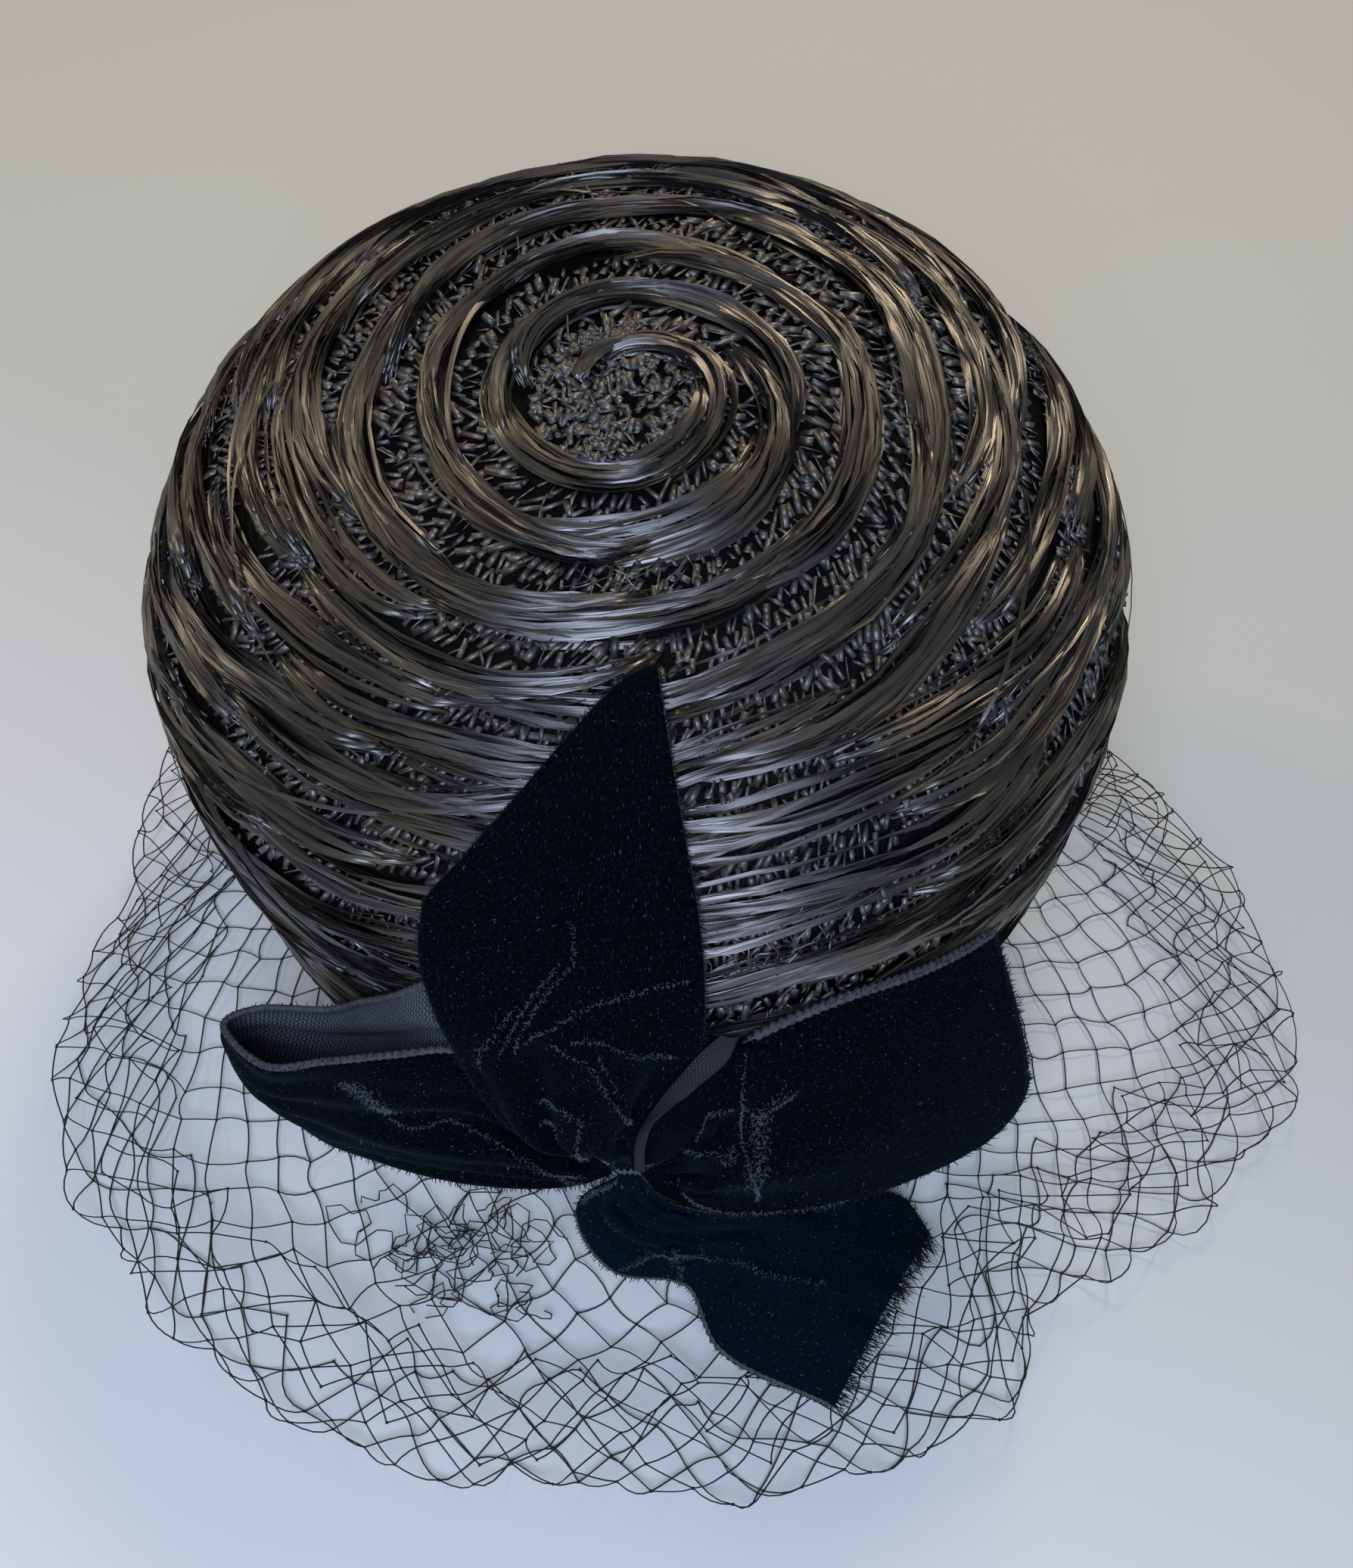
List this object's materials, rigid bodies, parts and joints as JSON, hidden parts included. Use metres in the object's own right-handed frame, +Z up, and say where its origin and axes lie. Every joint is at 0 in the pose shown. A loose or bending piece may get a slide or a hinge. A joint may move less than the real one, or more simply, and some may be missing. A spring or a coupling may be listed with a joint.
{
  "type": "pillbox hat",
  "caption": "Tall rounded pillbox hat of ribbed black straw, open at the rim, with a velvet ribbon bow sewn to the front and a short net veil spreading round the rim.",
  "frame": {"origin": "middle of the net's outer edge, at the height of the rim, which is the plane that the hat stands on", "axes": "+Z up through the crown, -Y to the front, where the bow is"},
  "size_m": [0.2792, 0.278, 0.1506],
  "materials": {
    "straw": "glossy black raffia straw laid in ribs",
    "velvet": "matt black pile ribbon",
    "net": "dark knotted net"
  },
  "bodies": {
    "root": {"crown": "straw", "bow_upright": "velvet", "bow_left_loop": "velvet", "bow_right_tail": "velvet", "bow_front_tail": "velvet", "veil": "net"}
  },
  "joints": []
}
